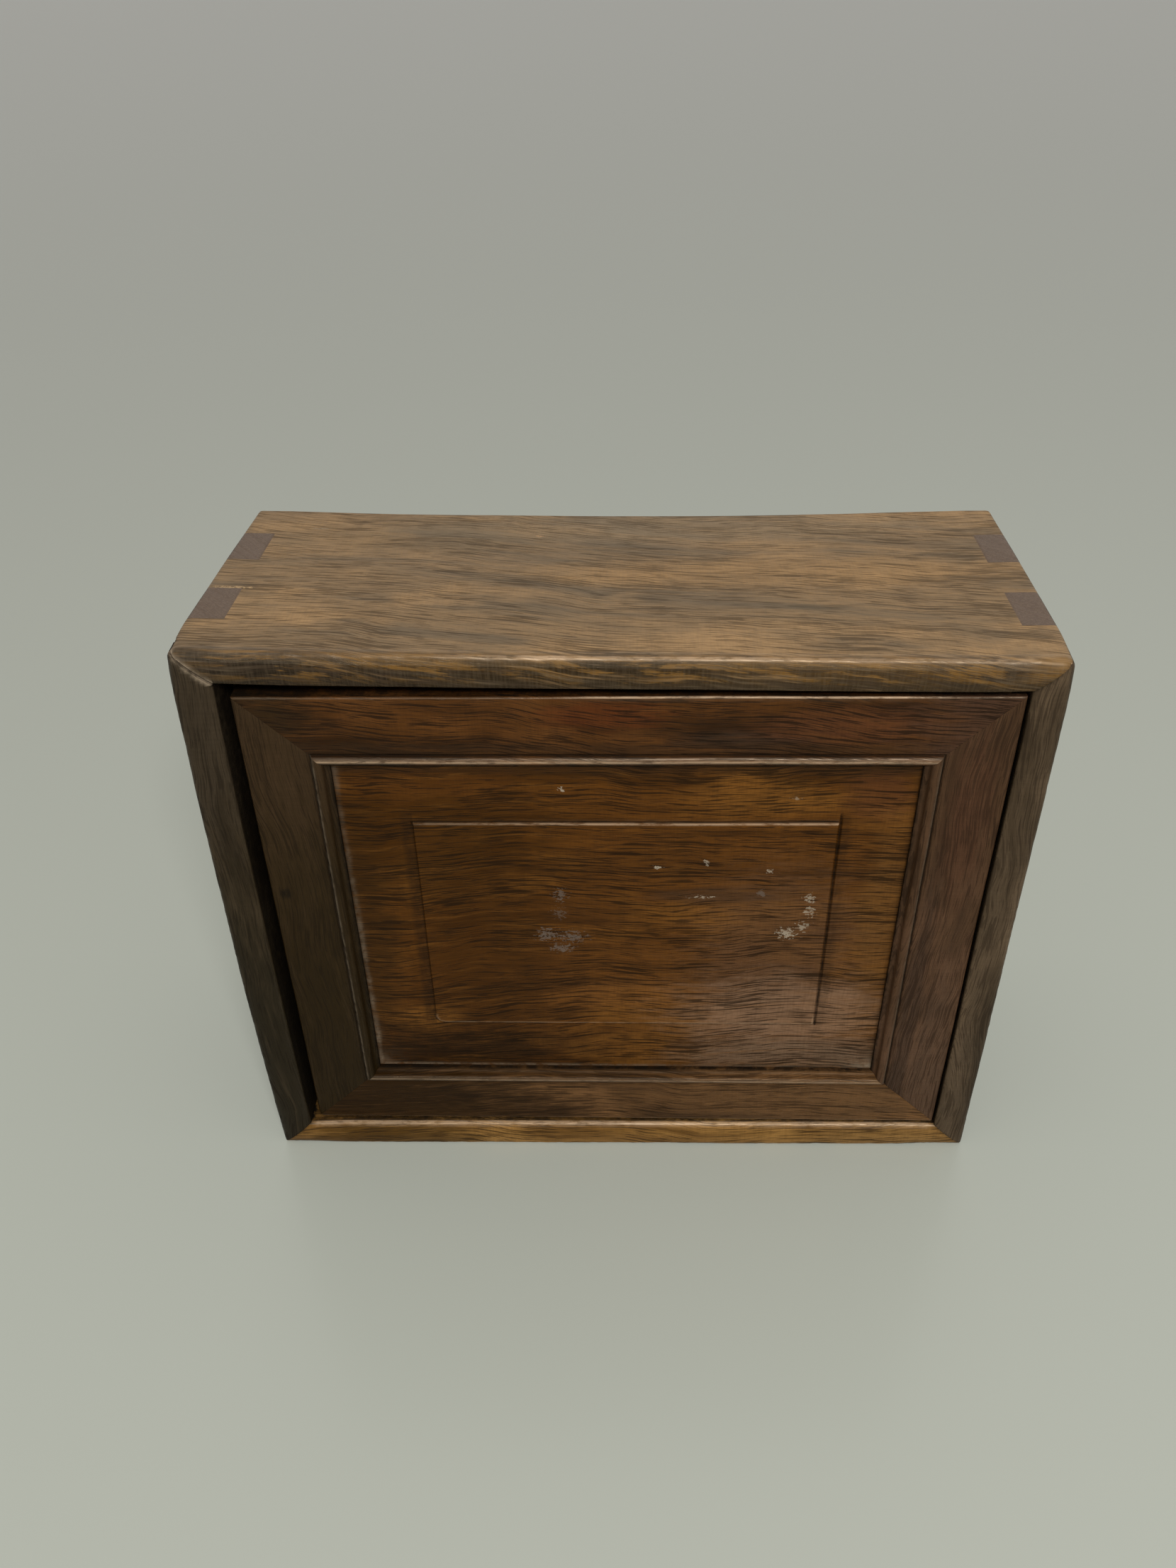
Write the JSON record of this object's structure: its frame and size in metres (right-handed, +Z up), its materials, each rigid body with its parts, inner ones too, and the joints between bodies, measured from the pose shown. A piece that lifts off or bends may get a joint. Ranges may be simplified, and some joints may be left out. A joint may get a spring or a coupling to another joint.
{
  "type": "hinged wooden box",
  "caption": "Dovetailed hardwood box standing on a long side, with an inset frame-and-panel lid on hidden pivot pins.",
  "frame": {"origin": "middle of the underside, the face of the long board that the box stands on", "axes": "+X to the lid's hinge end, +Y from the lid to the back panel, +Z up as the box stands in the picture"},
  "size_m": [0.25, 0.103, 0.2102],
  "materials": {
    "case_long_board": "worn satin wax over oiled hardwood, long grain",
    "case_short_board": "worn satin wax over dark oiled hardwood",
    "lid_frame": "semi-gloss old wax, red-brown",
    "lid_panel": "semi-gloss old wax, orange-brown",
    "inner_wood": "unpolished, darkened by age",
    "pivot_metal": "dull, tarnished"
  },
  "bodies": {
    "case": {"case_top_board": "case_long_board", "case_bottom_board": "case_long_board", "case_left_board": "case_short_board", "case_right_board": "case_short_board", "case_back_panel": "inner_wood", "lid_ledge_left": "inner_wood", "lid_ledge_top": "inner_wood", "lid_ledge_bottom": "inner_wood"},
    "lid": {"lid_top_rail": "lid_frame", "lid_bottom_rail": "lid_frame", "lid_left_stile": "lid_frame", "lid_right_stile": "lid_frame", "lid_panel": "lid_panel", "lid_panel_batten": "inner_wood", "pivot_pin_upper": "pivot_metal", "pivot_pin_lower": "pivot_metal"}
  },
  "joints": [
    {"name": "lid_hinge", "type": "hinge", "parent": "case", "child": "lid", "pos_m": [0.1087, -0.0463, 0.1035], "axis": [0, 0, 1], "range_deg": [0, 105]}
  ]
}
